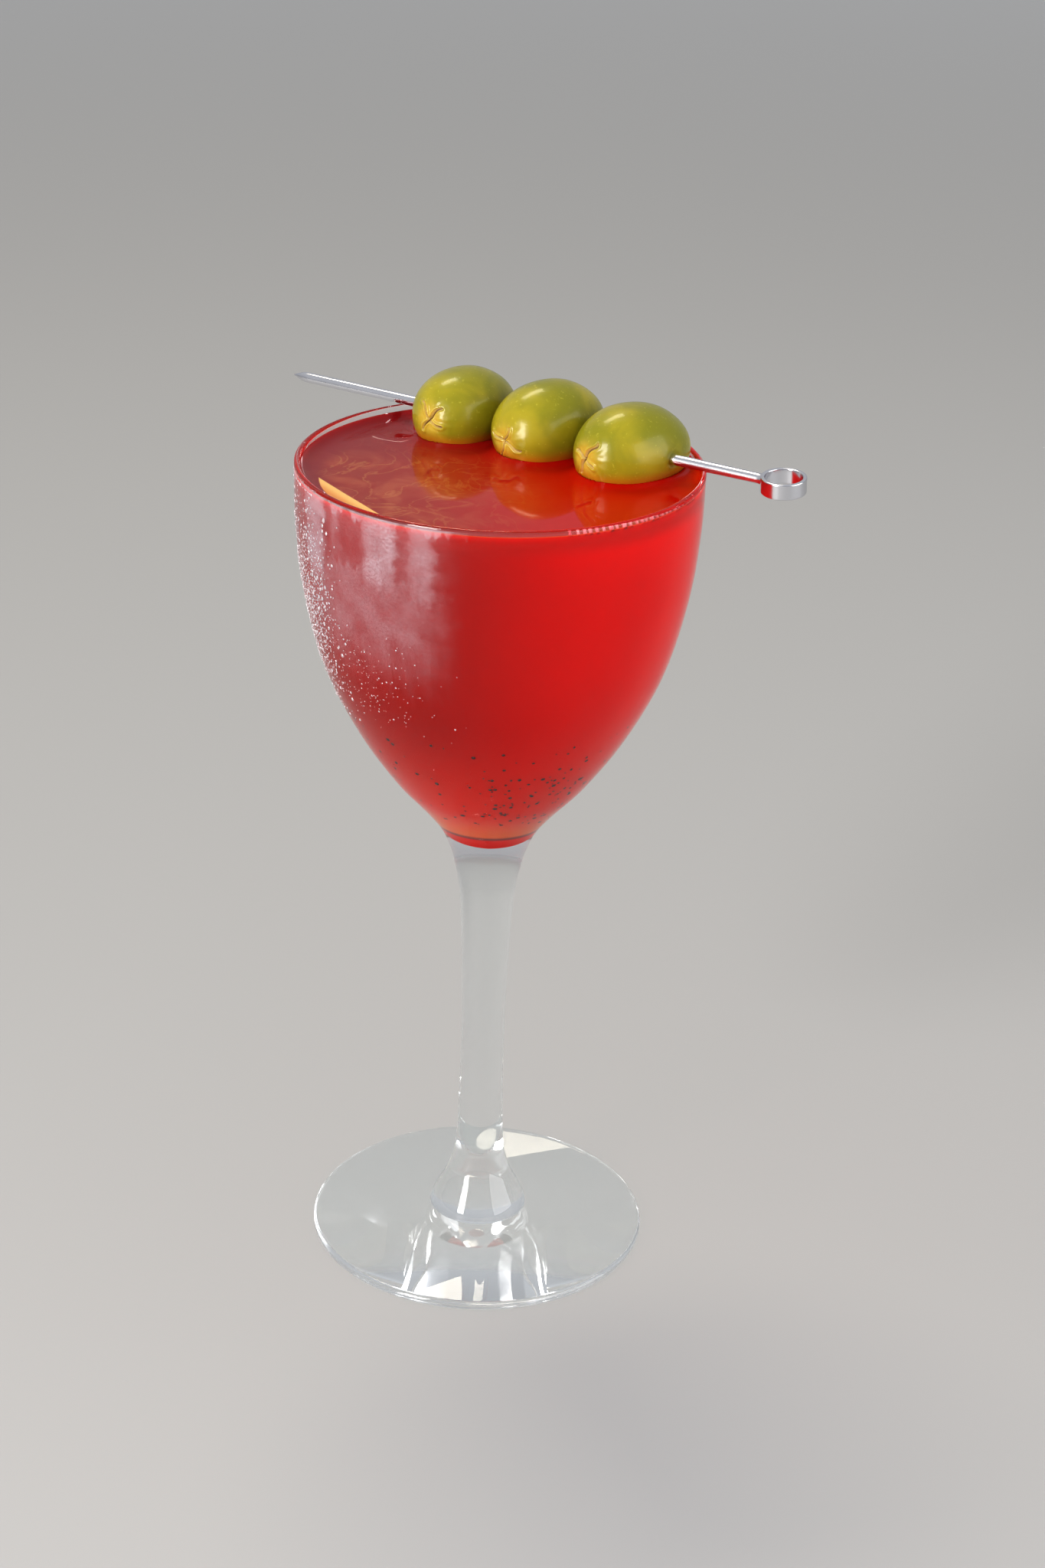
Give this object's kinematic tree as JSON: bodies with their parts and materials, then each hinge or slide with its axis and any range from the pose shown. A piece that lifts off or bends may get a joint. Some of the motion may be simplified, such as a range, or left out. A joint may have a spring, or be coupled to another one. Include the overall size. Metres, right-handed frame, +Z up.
{
  "type": "martini cocktail",
  "caption": "Small stemmed cocktail glass with an egg-shaped bowl, filled with a cloudy red drink, and green olives on a steel pick laid across the rim.",
  "frame": {"origin": "middle of the flat underside of the glass's foot", "axes": "+Z up along the stem; +Y away from the viewer of the picture; +X to the viewer's right, where the pick's ring is"},
  "size_m": [0.0893, 0.0762, 0.1619],
  "materials": {
    "clear_glass": "clear, polished, with mist and small drops on the bowl",
    "red_drink": null,
    "olive_skin": null,
    "polished_steel": "polished stainless steel"
  },
  "bodies": {
    "root": {"glass": "clear_glass", "drink": "red_drink", "olive_1": "olive_skin", "olive_2": "olive_skin", "olive_3": "olive_skin", "pick": "polished_steel"}
  },
  "joints": []
}
